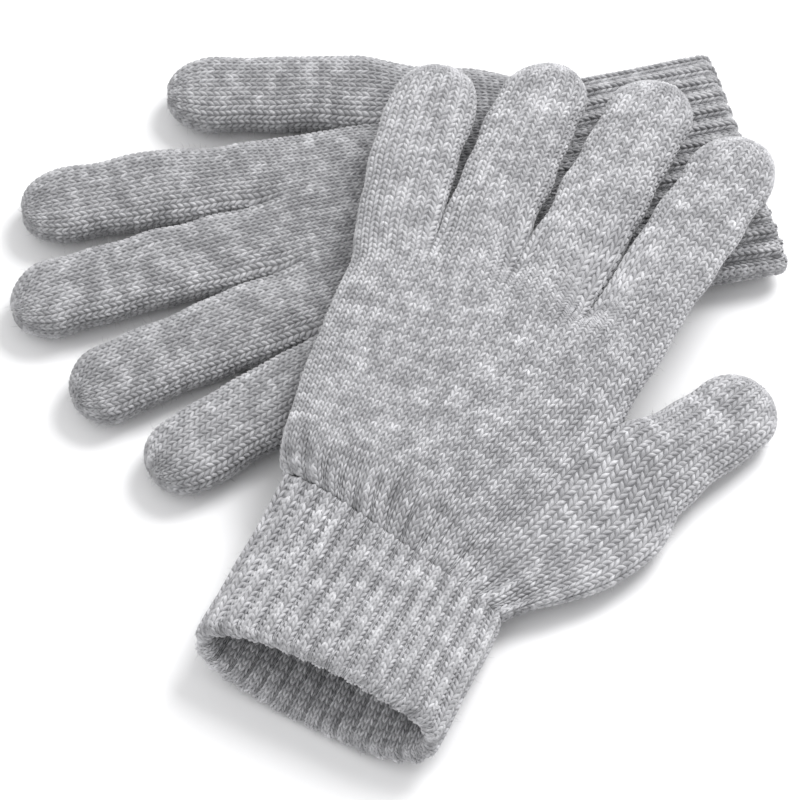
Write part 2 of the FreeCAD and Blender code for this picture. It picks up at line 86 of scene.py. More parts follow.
yarn = {
    "dark": "#828285",   # the dark fibres of the blend
    "middle": "#a2a2a5",
    "light": "#e4e4e7",  # undyed wool, showing as flecks
    "cloudSize": 8.0,   # mm, how far apart the light and dark clouds of the blend lie
    "fleckSize": 2.6,    # mm, the same for the small flecks
    "fibreGrain": 0.35,  # mm
    "cloudShare": 0.50,
    "fleckShare": 0.58,
    "stitchTone": 0.17,  # tone that a stitch starts from, then how far it strays, slowly and quickly
    "slowStray": 0.05,
    "quickStray": 0.13,
    # painted light and shade: one yarn for both gloves, slightly lightened for the left glove on top and
    # darkened for the right glove lying in its shade
    "paintedSideShade": {"left": 1.03, "right": 0.87},
    "fibreShade": 1.1,   # against the yarn
    # painted shadow: the ground sheet under the stitches is darkened to stand for the shade in the gaps
    # between them
    "groundPaintedShade": 0.55,
    "roughness": 0.92,   # wool scatters, it never shines
    "sheen": 0.35,
}


def marlMaterial(name, shade, strength):
    # spun wool blend: dyed and undyed fibres carded together, so every stitch has a tone of its own
    material = bpy.data.materials.new(name)
    material.use_nodes = True
    tree = material.node_tree
    shader = tree.nodes["Principled BSDF"]
    place = addNode(tree, "ShaderNodeTexCoord")
    tone = addNode(tree, "ShaderNodeAttribute", {"attribute_name": "tone"})
    cloud = addNode(tree, "ShaderNodeTexNoise", Vector=place.outputs["Object"],
                    Scale=1000 / yarn["cloudSize"], Detail=3.0, Roughness=0.65)
    grain = addNode(tree, "ShaderNodeTexNoise", Vector=place.outputs["Object"],
                    Scale=1000 / yarn["fleckSize"], Detail=3.0, Roughness=0.6)
    first = addNode(tree, "ShaderNodeMath", {"operation": "MULTIPLY_ADD"},
                    in0=cloud.outputs["Fac"], in1=yarn["cloudShare"], in2=tone.outputs["Fac"])
    second = addNode(tree, "ShaderNodeMath", {"operation": "MULTIPLY_ADD"},
                     in0=grain.outputs["Fac"], in1=yarn["fleckShare"], in2=first.outputs[0])
    ramp = addNode(tree, "ShaderNodeValToRGB")
    tree.links.new(second.outputs[0], ramp.inputs["Fac"])
    # shade scales every colour of the blend; for each glove and for the ground under the stitches it
    # carries painted shade
    colours = ramp.color_ramp
    colours.elements[0].position = 0.36
    colours.elements[0].color = [c * shade for c in linear(yarn["dark"])[:3]] + [1]
    colours.elements[1].position = 1.0
    colours.elements[1].color = [c * shade for c in linear(yarn["light"])[:3]] + [1]
    between = colours.elements.new(0.66)
    between.color = [c * shade for c in linear(yarn["middle"])[:3]] + [1]
    tree.links.new(ramp.outputs["Color"], shader.inputs["Base Color"])
    fibre = addNode(tree, "ShaderNodeTexNoise", Vector=place.outputs["Object"],
                    Scale=1000 / yarn["fibreGrain"], Detail=2.0)
    bump = addNode(tree, "ShaderNodeBump", Strength=strength, Distance=0.2 * mm,
                   Height=fibre.outputs["Fac"])
    tree.links.new(bump.outputs["Normal"], shader.inputs["Normal"])
    shader.inputs["Roughness"].default_value = yarn["roughness"]
    shader.inputs["IOR"].default_value = 1.54
    shader.inputs["Specular IOR Level"].default_value = 0.25
    shader.inputs["Sheen Weight"].default_value = yarn["sheen"]
    shader.inputs["Sheen Roughness"].default_value = 0.5
    return material


materials = {}
# each glove gets a lit or shaded copy of the same marl, scaled by its painted shade
for side, shade in yarn["paintedSideShade"].items():
    materials[side] = {
        "yarn": marlMaterial(side + "MarlYarn", shade, 0.6),
        "fibre": marlMaterial(side + "RaisedFibre", shade * yarn["fibreShade"], 0.0),
        # the ground's darker copy of the yarn is painted shadow between the stitches
        "ground": marlMaterial(side + "KnitGroundShadow", shade * yarn["groundPaintedShade"], 0.6),
    }
elasticMaterial = marlMaterial("coveredElasticYarn", 1.3, 0.3)
print("materials made")


# the knitted fabric: a stitch on every face of a grid, and fibres brushed up out of it
knit = {
    "wale": 3.1 * mm,      # width of a stitch lying flat
    "row": 2.0 * mm,       # height of a row
    "legRadius": 0.58 * mm,
    "legFoot": (0.06, -0.74, -0.65),     # shares of the wale, the row and the leg's radius
    "legBelly": (0.23, -0.05, 1.35),
    "legShoulder": (0.45, 0.62, -0.85),
    "legSides": 4,
    "fibreDensity": 330000.0,  # for each square metre
    "fibreLength": 2.3 * mm,
    "fibreThick": 0.045 * mm,
    "seed": 7,
    "groundDepth": 0.45 * mm,   # the closed ground lies this far under the stitches; coloured dark, it is painted shadow in the gaps between them
    "endPacking": 0.62,         # at a rounded end, columns closer than this share of a wale merge
}


def knitTree():
    tree = bpy.data.node_groups.new("knittedFabric", "GeometryNodeTree")
    face = tree.interface
    face.new_socket("Surface", in_out="INPUT", socket_type="NodeSocketGeometry")
    for name in ("Wale", "Row", "Leg radius", "Fibre density", "Fibre length", "Fibre thickness"):
        face.new_socket(name, in_out="INPUT", socket_type="NodeSocketFloat")
    for name in ("Leg sides", "Seed"):
        face.new_socket(name, in_out="INPUT", socket_type="NodeSocketInt")
    for name in ("Yarn", "Fibre", "Ground"):
        face.new_socket(name, in_out="INPUT", socket_type="NodeSocketMaterial")
    face.new_socket("Fabric", in_out="OUTPUT", socket_type="NodeSocketGeometry")
    start = tree.nodes.new("NodeGroupInput").outputs
    end = tree.nodes.new("NodeGroupOutput")

    def maths(operation, *values):
        node = addNode(tree, "ShaderNodeMath", {"operation": operation})
        for k, value in enumerate(values):
            if isinstance(value, bpy.types.NodeSocket):
                tree.links.new(value, node.inputs[k])
            else:
                node.inputs[k].default_value = value
        return node.outputs[0]

    def vector(x, y, z):
        return addNode(tree, "ShaderNodeCombineXYZ", X=x, Y=y, Z=z).outputs[0]

    def named(kind, name):
        return addNode(tree, "GeometryNodeInputNamedAttribute", {"data_type": kind},
                       Name=name).outputs["Attribute"]

    # one leg of the V, from the foot in the row below to the shoulder under the row above
    wale, row, radius = start["Wale"], start["Row"], start["Leg radius"]

    def legPoint(shares):
        return vector(*(maths("MULTIPLY", full, share) for full, share in zip((wale, row, radius), shares)))

    leg = addNode(tree, "GeometryNodeCurveQuadraticBezier", Resolution=3, Start=legPoint(knit["legFoot"]),
                  Middle=legPoint(knit["legBelly"]), End=legPoint(knit["legShoulder"]))
    other = addNode(tree, "GeometryNodeTransform", Geometry=leg.outputs[0], Scale=(-1.0, 1.0, 1.0))
    legs = addNode(tree, "GeometryNodeJoinGeometry")
    tree.links.new(leg.outputs[0], legs.inputs[0])
    tree.links.new(other.outputs[0], legs.inputs[0])
    along = addNode(tree, "GeometryNodeSplineParameter").outputs["Factor"]
    swell = maths("MULTIPLY_ADD", maths("SINE", maths("MULTIPLY", along, math.pi)), 0.42, 0.60)
    ring = addNode(tree, "GeometryNodeCurvePrimitiveCircle", Resolution=start["Leg sides"], Radius=1.0)
    stitch = addNode(tree, "GeometryNodeCurveToMesh", Curve=legs.outputs[0],
                     Profile_Curve=ring.outputs[0], Scale=maths("MULTIPLY", swell, radius))
    spots = addNode(tree, "GeometryNodeMeshToPoints", {"mode": "FACES"}, Mesh=start["Surface"],
                    Selection=maths("GREATER_THAN", named("FLOAT", "width"), 0.01))
    turned = addNode(tree, "FunctionNodeAxesToRotation", {"primary_axis": "Z", "secondary_axis": "Y"},
                     in0=named("FLOAT_VECTOR", "outward"), in1=named("FLOAT_VECTOR", "along"))
    stitches = addNode(tree, "GeometryNodeInstanceOnPoints", Points=spots.outputs[0],
                       Instance=stitch.outputs[0], Rotation=turned.outputs[0],
                       Scale=vector(named("FLOAT", "width"), named("FLOAT", "height"), 1.0))
    # brushed fibres, bent over at random
    long = start["Fibre length"]
    hair = addNode(
        tree, "GeometryNodeCurveQuadraticBezier", Resolution=2, Start=(0.0, 0.0, 0.0),
        Middle=vector(0.0, 0.0, maths("MULTIPLY", long, 0.55)),
        End=vector(maths("MULTIPLY", long, 0.75), 0.0, maths("MULTIPLY", long, 0.80)))
    taper = maths("MULTIPLY", maths("SUBTRACT", 1.15, along), start["Fibre thickness"])
    three = addNode(tree, "GeometryNodeCurvePrimitiveCircle", Resolution=3, Radius=1.0)
    hairMesh = addNode(tree, "GeometryNodeCurveToMesh", Curve=hair.outputs[0],
                       Profile_Curve=three.outputs[0], Scale=taper)
    roots = addNode(tree, "GeometryNodeDistributePointsOnFaces", Mesh=start["Surface"],
                    Density=start["Fibre density"], Seed=start["Seed"])
    lean = addNode(tree, "FunctionNodeRandomValue", {"data_type": "FLOAT_VECTOR"},
                   Min=(-0.95, -0.95, 0.0), Max=(0.95, 0.95, 2 * math.pi), Seed=start["Seed"])
    leanTurn = addNode(tree, "FunctionNodeEulerToRotation", in0=lean.outputs[0])
    bent = addNode(tree, "FunctionNodeRotateRotation", {"rotation_space": "LOCAL"},
                   in0=roots.outputs["Rotation"], in1=leanTurn.outputs[0])
    size = addNode(tree, "FunctionNodeRandomValue", {"data_type": "FLOAT"},
                   in2=0.45, in3=1.25, Seed=start["Seed"])
    hairs = addNode(tree, "GeometryNodeInstanceOnPoints", Points=roots.outputs["Points"],
                    Instance=hairMesh.outputs[0], Rotation=bent.outputs[0], Scale=size.outputs[1])
    together = addNode(tree, "GeometryNodeJoinGeometry")
    for made, material in ((start["Surface"], "Ground"), (stitches.outputs[0], "Yarn"),
                           (hairs.outputs[0], "Fibre")):
        real = addNode(tree, "GeometryNodeRealizeInstances", Geometry=made)
        clad = addNode(tree, "GeometryNodeSetMaterial", Geometry=real.outputs[0],
                       Material=start[material])
        tree.links.new(clad.outputs[0], together.inputs[0])
    tree.links.new(together.outputs[0], end.inputs[0])
    return tree


fabricTree = knitTree()
print("fabric tree built")


def setInputs(modifier, values):
    for item in modifier.node_group.interface.items_tree:
        if item.item_type == "SOCKET" and item.in_out == "INPUT" and item.name in values:
            modifier[item.identifier] = values[item.name]


def gridNormals(grid):
    across = np.gradient(grid, axis=1)
    if closedGrid(grid):
        across[:, 0] = across[:, -1] = (grid[:, 1] - grid[:, -2]) / 2
    out = np.cross(across, np.gradient(grid, axis=0))
    return out / np.maximum(np.linalg.norm(out, axis=2, keepdims=True), 1e-9)


def closedGrid(grid):
    return np.allclose(grid[:, 0], grid[:, -1], atol=1e-6)


def knitPiece(name, side, patches):
    # a patch is a grid of points in metres, its first column and row, and whether its end is closed
    points, faces = [], []
    data = {key: [] for key in ("outward", "along", "width", "height", "tone")}
    for grid, firstColumn, firstRow, capped in patches:
        rows, columns = grid.shape[:2]
        base = len(points)
        skin = grid - gridNormals(grid) * knit["groundDepth"]
        points.extend(skin.reshape(-1, 3).tolist())
        for r in range(rows - 1):
            wide = np.linalg.norm(np.diff(grid[r:r + 2].mean(axis=0), axis=0), axis=1)
            merged = knit["endPacking"] * knit["wale"] / max(wide.mean(), 1e-6)
            step = max(1, int(round(merged))) if capped else 1
            for c in range(columns - 1):
                faces.append([base + r * columns + c, base + (r + 1) * columns + c,
                              base + (r + 1) * columns + c + 1, base + r * columns + c + 1][::-1])
                last = min(c + step, columns - 1)
                a, b = grid[r, c], grid[r, last]
                d, e = grid[r + 1, c], grid[r + 1, last]
                course = (b + e - a - d) / 2
                wale = (d + e - a - b) / 2
                out = np.cross(course, wale)
                out /= max(np.linalg.norm(out), 1e-12)
                shown = c % step == 0
                data["outward"].append(out)
                data["along"].append(wale / max(np.linalg.norm(wale), 1e-9))
                data["width"].append(np.linalg.norm(course) / knit["wale"] if shown else 0.0)
                data["height"].append(np.linalg.norm(wale) / knit["row"])
                data["tone"].append(stitchTone(firstRow + r, firstColumn + c))
        if capped:
            rim = [base + (rows - 1) * columns + c for c in range(columns - 1)]
            points.append(skin[-1, :-1].mean(axis=0).tolist())
            for c in range(len(rim)):
                faces.append([rim[c], len(points) - 1, rim[(c + 1) % len(rim)]][::-1])
                for key, blank in (("outward", up), ("along", up), ("width", 0.0), ("height", 0.0),
                                   ("tone", 0.2)):
                    data[key].append(blank)
    mesh = bpy.data.meshes.new(name + "Surface")
    mesh.from_pydata(points, [], faces)
    for key, values in data.items():
        vectorial = key in ("outward", "along")
        attribute = mesh.attributes.new(key, "FLOAT_VECTOR" if vectorial else "FLOAT", "FACE")
        attribute.data.foreach_set("vector" if vectorial else "value",
                                   np.array(values, np.float32).ravel())
    holder = bpy.data.objects.new(name + "Surface", mesh)
    bpy.context.scene.collection.objects.link(holder)
    modifier = holder.modifiers.new("knit", "NODES")
    modifier.node_group = fabricTree
    kit = materials[side]
    setInputs(modifier, {
        "Wale": knit["wale"], "Row": knit["row"], "Leg radius": knit["legRadius"],
        "Leg sides": knit["legSides"], "Fibre density": knit["fibreDensity"],
        "Fibre length": knit["fibreLength"], "Fibre thickness": knit["fibreThick"],
        "Seed": knit["seed"], "Yarn": kit["yarn"], "Fibre": kit["fibre"], "Ground": kit["ground"]})
    depsgraph = bpy.context.evaluated_depsgraph_get()
    made = bpy.data.meshes.new_from_object(holder.evaluated_get(depsgraph))
    bpy.data.objects.remove(holder)
    piece = bpy.data.objects.new(name, made)
    made.name = name
    bpy.context.scene.collection.objects.link(piece)
    made.polygons.foreach_set("use_smooth", [True] * len(made.polygons))
    made.calc_loop_triangles()
    print(name, len(made.loop_triangles), "triangles")
    return piece


def stitchTone(row, column):
    # the yarn runs along the rows, so a light length colours several stitches side by side
    slow = noise.noise(Vector((column * 0.14 + row * 5.3, row * 0.25, 3.1)))
    quick = noise.noise(Vector((column * 0.7 + row * 11.7, row * 1.4, 9.4)))
    return yarn["stitchTone"] + yarn["slowStray"] * slow + yarn["quickStray"] * quick


# the shape of a glove, in its own frame: x to the fingertips, y to the little side, millimetres
shape = {
    "thick": 16.0,
    "wall": 1.1,          # from the outside to the middle of the stitches
    "knuckle": 26.5,      # knuckle line taken by a finger
    "fingerWidth": 28.8,
    "lengths": {"index": 70.0, "middle": 79.0, "ring": 73.0, "little": 64.0},
    "cuffLength": 48.0,
    "coveredStart": 24.0,  # the lower glove's little finger bends this far past its knuckle
    "lowRows": 30,        # rows from the wrist to the thumb's crotch
    "highRows": 22,       # and on to the knuckles
    "wales": 9,          # stitches across one face of a finger
    "endRows": 9,        # rows in a rounded fingertip
    "thumbExtra": 0.6,    # the thumb is this much wider than a finger
    "fingerPower": 2.35,
    "power": 2.7,         # how square the sections are
}
gloves = {
    "left": {
        "thumbLength": 50.0,
        "thumbTurn": -22.0,
        "crotch": (59.0, -44.0),           # between thumb and index
        "skew": 0.165,                     # slant of the wrist
        "ball": ((9, -54), (20, -63), (34, -69.5)),
        "drape": ((18.5, 43.5), -129.0, 22.0, 50.0),  # a point, the way down, level stretch, run
        "wristEdges": (38.5, -38.5),
        "mouthEdges": (40.5, -40.0),
        "mouthTall": 28.0,
        "deeper": (0.5, 5.0, 12.0),        # how far each crotch lies towards the wrist
        "reach": (2.0, 9.0, 6.0),          # rim at the little side, at the thumb side, underneath
        "curve": {"little": -3.5, "ring": -3.0, "middle": -2.0, "index": -0.5},
    },
    "right": {
        "thumbLength": 61.0,
        "thumbTurn": -14.0,
        "crotch": (63.0, -44.0),
        "skew": 0.03,
        "ball": ((10, -51), (24, -57.5), (40, -63)),
        "drape": None,
        "wristEdges": (38.5, -46.0),
        "mouthEdges": (43.0, -46.0),
        "mouthTall": 16.0,
        "deeper": (0.0, 0.0, 0.0),
        "reach": (0.0, 0.0, 0.0),
        "curve": {"little": 4.0, "ring": 3.5, "middle": 3.0, "index": 3.0},
    },
}
ribSpread = (1.25, 1.25, 0.5)  # two knit columns and the purl groove between ribs
digitColumns = 100  # columns from one digit's first to the next's, so that their tones differ


def ovalRing(spacing, half, rise, power):
    # points round a flattened oval, from the little side over the top
    turn = np.linspace(0, 2 * math.pi, 721)
    y = half * np.sign(np.cos(turn)) * np.abs(np.cos(turn)) ** (2 / power)
    z = rise * np.sign(np.sin(turn)) * np.abs(np.sin(turn)) ** (2 / power)
    run = np.concatenate([[0], np.cumsum(np.hypot(np.diff(y), np.diff(z)))])
    share = np.concatenate([[0], np.cumsum(spacing)[:-1]]) / np.sum(spacing)
    return np.interp(share * run[-1], run, y), np.interp(share * run[-1], run, z)


def through(points, count):
    # a smooth line through a few points, cut into even steps
    p = np.array(points, float)
    p = np.vstack([2 * p[0] - p[1], p, 2 * p[-1] - p[-2]])
    line = []
    for k in range(1, len(p) - 2):
        for t in np.linspace(0, 1, 30, endpoint=False):
            line.append(0.5 * (2 * p[k] + (p[k + 1] - p[k - 1]) * t
                               + (2 * p[k - 1] - 5 * p[k] + 4 * p[k + 1] - p[k + 2]) * t ** 2
                               + (3 * p[k] - p[k - 1] - 3 * p[k + 1] + p[k + 2]) * t ** 3))
    line = np.array(line + [p[-2]])
    run = np.concatenate([[0], np.cumsum(np.linalg.norm(np.diff(line, axis=0), axis=1))])
    at = np.linspace(0, run[-1], count)
    return np.stack([np.interp(at, run, line[:, k]) for k in range(2)], axis=1)


def patch(bottom, top, near, far):
    # a net of points between four edges
    u = np.linspace(0, 1, len(bottom))[None, :, None]
    v = np.linspace(0, 1, len(near))[:, None, None]
    return ((1 - v) * bottom[None] + v * top[None] + (1 - u) * near[:, None] + u * far[:, None]
            - (1 - u) * (1 - v) * bottom[0] - u * (1 - v) * bottom[-1]
            - (1 - u) * v * top[0] - u * v * top[-1])


def alongRow(line, share):
    at = np.linspace(0, 1, len(line))
    return np.stack([np.interp(share, at, line[:, k]) for k in range(2)], axis=1)


class Glove:
    def __init__(self, side):
        self.side = side
        self.own = gloves[side]
        mouth = mounts[side + "_cuff_mouth"]
        away = np.array(mouth["axis"][:2])
        self.heading = -away
        self.across = np.array((-self.heading[1], self.heading[0]))
        self.wrist = np.array(mouth["pos_m"][:2]) / mm + self.heading * shape["cuffLength"]
        self.level = joints[side + "_middle_bend"]["pos_m"][2] / mm - shape["thick"]

    def local(self, point):
        d = np.array(point[:2]) / mm - self.wrist
        return np.array((d @ self.heading, d @ self.across))

    def world(self, grid):
        flat = self.wrist + grid[..., :1] * self.heading + grid[..., 1:2] * self.across
        return np.concatenate([flat, grid[..., 2:]], axis=-1) * mm

    def seat(self, digit):
        # knuckle and heading of a finger, in the glove's frame
        joint = joints["%s_%s_bend" % (self.side, digit)]
        axis = np.array(joint["axis"][:2])
        ahead = np.array((-axis[1], axis[0]))
        ahead = np.array((ahead @ self.heading, ahead @ self.across))
        spot = self.local(joint["pos_m"])
        if self.side == "right" and digit == "little":
            spot = spot - ahead * shape["coveredStart"]
        return spot, ahead

    def drop(self, x, y):
        # how high the underside lies: over the other glove, then down to the table
        if not self.own["drape"]:
            return np.zeros_like(x)
        (x0, y0), turn, level, run = self.own["drape"]
        turn = math.radians(turn)
        s = (x - x0) * math.cos(turn) + (y - y0) * math.sin(turn)
        held = 0.45 + 0.55 * smooth((x + 6) / 26)
        return self.level * (1 - smooth((s - level) / run)) * held


def tubeTarget(seat, ahead, length, width, sides, first, rows, capRows, curve=0.0):
    # rings of a finger: straight, then a rounded end; rows before 0 run back into the palm
    side = np.array((-ahead[1], ahead[0]))
    half = width / 2 - shape["wall"]
    rise = shape["thick"] / 2 - shape["wall"]
    cap = half + 0.6
    straight = length - shape["wall"] - cap
    rings, spots = [], []
    for k in range(first, rows + capRows + 1):
        if k <= rows:
            t, a, b = straight * k / rows, half, rise
            opening = 1 - 0.085 * (1 - smooth(t / 26))
            a = a * opening
        else:
            turn = math.radians(80) * (k - rows) / capRows
            t, a, b = straight + cap * math.sin(turn), half * math.cos(turn), rise * math.cos(turn) ** 0.72
        y, z = ovalRing(np.ones(sides), a, b, shape["fingerPower"])
        bulge = 1 + 0.02 * math.sin(t * 0.35 + seat[1])
        aside = curve * (max(t, 0) / length) ** 2
        flat = seat + ahead * t + side * (y * bulge + aside)[:, None]
        rings.append(np.concatenate([flat, z[:, None]], axis=1))
        spots.append(t)
    return np.array(rings), np.array(spots)


def grow(base, rings, settle):
    # a tube that starts as the given ring and becomes its own shape within a few rows
    fade = 1 - smooth(np.arange(len(rings)) / settle)
    return rings + (base - rings[0])[None] * fade[:, None, None]


def closeRing(grid):
    return np.concatenate([grid, grid[:, :1]], axis=1)


def rough(grid, amount, size, seed):
    # gentle lumps, as handled knitting has
    out = gridNormals(grid)
    lump = np.array([[noise.noise(Vector(p / size) + Vector((seed, 0, 0))) for p in row] for row in grid])
    grid = grid + out * (lump * amount)[..., None]
    grid[..., 2] = np.maximum(grid[..., 2], shape["wall"])  # nothing sinks into the table
    return grid


def buildGlove(side):
    glove = Glove(side)
    own = glove.own
    low, high, n = shape["lowRows"], shape["highRows"], shape["wales"]
    palmRound, handRound = 8 * n + 2, 10 * n
    rise = shape["thick"] / 2 - shape["wall"]
    wall = shape["wall"]
    seats = {f: glove.seat(f) for f in fingers}
    crotch = np.array(own["crotch"])

    def corner(finger, way):
        spot, ahead = seats[finger]
        return spot + way * np.array((-ahead[1], ahead[0])) * shape["knuckle"] / 2

    # edges of the palm, drawn in by the wall
    wristLittle, wristThumbSide = own["wristEdges"][0] - wall, own["wristEdges"][1] + wall
    thumbTurn = math.radians(own["thumbTurn"])
    thumbAhead = np.array((math.cos(thumbTurn), math.sin(thumbTurn)))
    thumbSide = np.array((-thumbAhead[1], thumbAhead[0]))
    outer = crotch - thumbSide * (shape["fingerWidth"] - wall)
    littleCorner = corner("little", 1) - np.array((0, 2.2))
    littleEdge = through([(own["skew"] * wristLittle, wristLittle), (10, 40.6), (20, 43.2), (40, 46.8),
                          (58, 48.8), (80, 50.5), littleCorner], low + high + 1)
    wristThumb = np.array((-own["skew"] * 42, wristThumbSide))
    thumbEdge = through([wristThumb, *own["ball"], outer], low + 1)
    splitFoot = (-own["skew"] * 18, 0.2 * wristLittle + 0.8 * wristThumbSide)
    split = through([splitFoot, (30, -34), crotch], low + 1)
    indexEdge = through([crotch, crotch + np.array((14, -2.0)), corner("index", -1)], high + 1)
    wristLine = through([(own["skew"] * wristLittle, wristLittle), wristThumb], 5 * n + 1)
    crotchLine = through([littleEdge[low], (crotch[0] + 2, 0), crotch], 4 * n + 1)
    lowWide = patch(wristLine[:4 * n + 1], crotchLine, littleEdge[:low + 1], split)
    lowThumb = patch(wristLine[4 * n:], through([crotch, outer], n + 1), split, thumbEdge)
    fan = [littleCorner] + [corner(f, 1) for f in fingers[1:]] + [corner("index", -1)]
    highWide = patch(lowWide[-1], through(fan, 4 * n + 1), littleEdge[low:], indexEdge)

    def wholeRing(line, spacing, tall, power=shape["power"]):
        half = np.linalg.norm(line[0] - line[-1]) / 2
        y, z = ovalRing(spacing, half, tall, power)
        return np.concatenate([alongRow(line, (1 - y / half) / 2), z[:, None]], axis=1)

    ribSpacing = np.tile(ribSpread, handRound // len(ribSpread))
    even = np.ones(handRound)

    # lower palm: one ring of stitches that parts into palm and thumb
    lowRings = []
    for r in range(low + 1):
        line = np.vstack([lowWide[r], lowThumb[r][1:]])
        share = smooth(r / 7)
        tall = rise * (0.93 + 0.07 * smooth(r / 6) + 0.03 * math.sin(math.pi * r / low))
        whole = wholeRing(line, ribSpacing * (1 - share) + even * share, tall)
        parted = 0.85 * smooth((r - low + 10) / 10)
        if parted > 0:
            palm = wholeRing(lowWide[r], np.ones(palmRound), tall)
            thumb = wholeRing(lowThumb[r], np.ones(2 * n + 2), tall)
            apart = np.zeros_like(whole)
            apart[:4 * n] = palm[:4 * n]
            apart[4 * n + 1:6 * n] = thumb[2:2 * n + 1]
            apart[6 * n + 1:] = palm[4 * n + 3:]
            apart[4 * n] = (palm[4 * n] + thumb[1]) / 2
            apart[6 * n] = (palm[4 * n + 2] + thumb[2 * n + 1]) / 2
            whole = whole * (1 - parted) + apart * parted
        lowRings.append(whole)
    lowRings = np.array(lowRings)
    web = np.array((crotch[0] - 0.5, crotch[1], 0.0))

    # upper palm
    rings = np.array([wholeRing(highWide[r], np.ones(palmRound), rise * (1.03 - 0.03 * smooth(r / high)))
                      for r in range(high + 1)])
    start = np.vstack([lowRings[-1][:4 * n + 1], web, lowRings[-1][6 * n:]])
    highRings = grow(start, rings, 6)
    tubes = {}
    lead = 8  # rows over which the palm parts into fingers
    for f in fingers:
        spot, ahead = seats[f]
        sides = 2 * n + (2 if f == "little" else 4)
        length = shape["lengths"][f]
        count = int(round((length - 14) * mm / knit["row"]))
        tubes[f] = tubeTarget(spot, ahead, length, shape["fingerWidth"], sides, -lead, count,
                              shape["endRows"], own["curve"][f])
    webs = {}
    for m in range(1, 4):
        a, b = tubes[fingers[m - 1]][0][lead], tubes[fingers[m]][0][lead]
        middle = (a[n + 1 if m == 1 else n + 2] + b[0]) / 2
        webs[m] = middle - np.array((1.2, 0, 0))
    for r in range(high - lead, high + 1):
        parted = 0.9 * smooth((r - (high - lead)) / lead)
        apart = np.zeros((palmRound, 3))
        count = np.zeros(palmRound)
        for m, f in enumerate(fingers):
            ring = tubes[f][0][r - high + lead]
            front = ring[0:n + 1] if m == 0 else ring[1:n + 2]
            back = np.vstack([ring[n + 2:], ring[:1]]) if m == 0 else ring[n + 3:]
            for k in range(n + 1):
                apart[n * m + k] += front[k]
                count[n * m + k] += 1
                j = (4 * n + 2 + n * (3 - m) + k) % palmRound
                if not (m == 0 and k == n):
                    apart[j] += back[k]
                    count[j] += 1
        apart[4 * n + 1] = tubes["index"][0][r - high + lead][n + 2]
        count[4 * n + 1] = 1
        apart /= count[:, None]
        highRings[r] = highRings[r] * (1 - parted) + apart * parted
    for m in range(1, 4):  # how far each crotch lies towards the wrist
        deeper = own["deeper"][m - 1]
        webs[m] = webs[m] - np.array((deeper, 0, 0))
        for c in range(palmRound):
            near = min(abs(c - n * m), abs(c - (4 * n + 2 + n * (4 - m))))
            pull = deeper * (1 - smooth(near / (0.55 * n)))
            highRings[high - 11:, c, 0] -= pull * smooth(np.arange(1, 13) / 12)
    last = highRings[-1]
    webs[4] = last[4 * n + 1]

    grids = {}
    for m, f in enumerate(fingers):
        front = last[n * m:n * m + n + 1]
        j = 4 * n + 2 + n * (3 - m)
        back = last[[(j + k) % palmRound for k in range(n + 1)]]
        if m == 0:
            base = np.vstack([front, webs[1], back[:n]])
        else:
            base = np.vstack([webs[m], front, webs[m + 1], back])
        grids[f] = (closeRing(grow(base, tubes[f][0][lead:], 12)), tubes[f][1][lead:])
    thumbBase = np.vstack([web, lowRings[-1][4 * n:6 * n + 1]])
    thumbSeat = crotch - thumbSide * shape["fingerWidth"] / 2
    length = own["thumbLength"]
    thumbWidth = shape["fingerWidth"] + shape["thumbExtra"]
    thumbTube = tubeTarget(thumbSeat, thumbAhead, length, thumbWidth, 2 * n + 2, 0,
                           int(round((length - 14) * mm / knit["row"])), shape["endRows"])
    grids["thumb"] = (closeRing(grow(thumbBase, thumbTube[0], 7)), thumbTube[1])
    grids["low"] = (closeRing(lowRings), None)
    grids["high"] = (closeRing(highRings), None)
    return glove, grids


def liftGrid(glove, name, grid, spots):
    # section heights become heights above the table
    lifted = grid.copy()
    base = glove.drop(grid[..., 0], grid[..., 1])
    if name == "thumb" and glove.side == "left":
        base = base * (1 - smooth(spots / 34))[:, None]
    lifted[..., 2] = base + shape["thick"] / 2 + grid[..., 2]
    return lifted


cuffRows = {
    "outer": 23,        # rows of the outer layer
    "rim": 5,           # rows round the fold
    "inner": 16,        # rows of the layer turned in behind it
    "firstOuter": -40,  # where each layer's rows start in the yarn's run of tones
    "firstInner": -80,
    "fold": 2.3,        # half of the rim's thickness
}


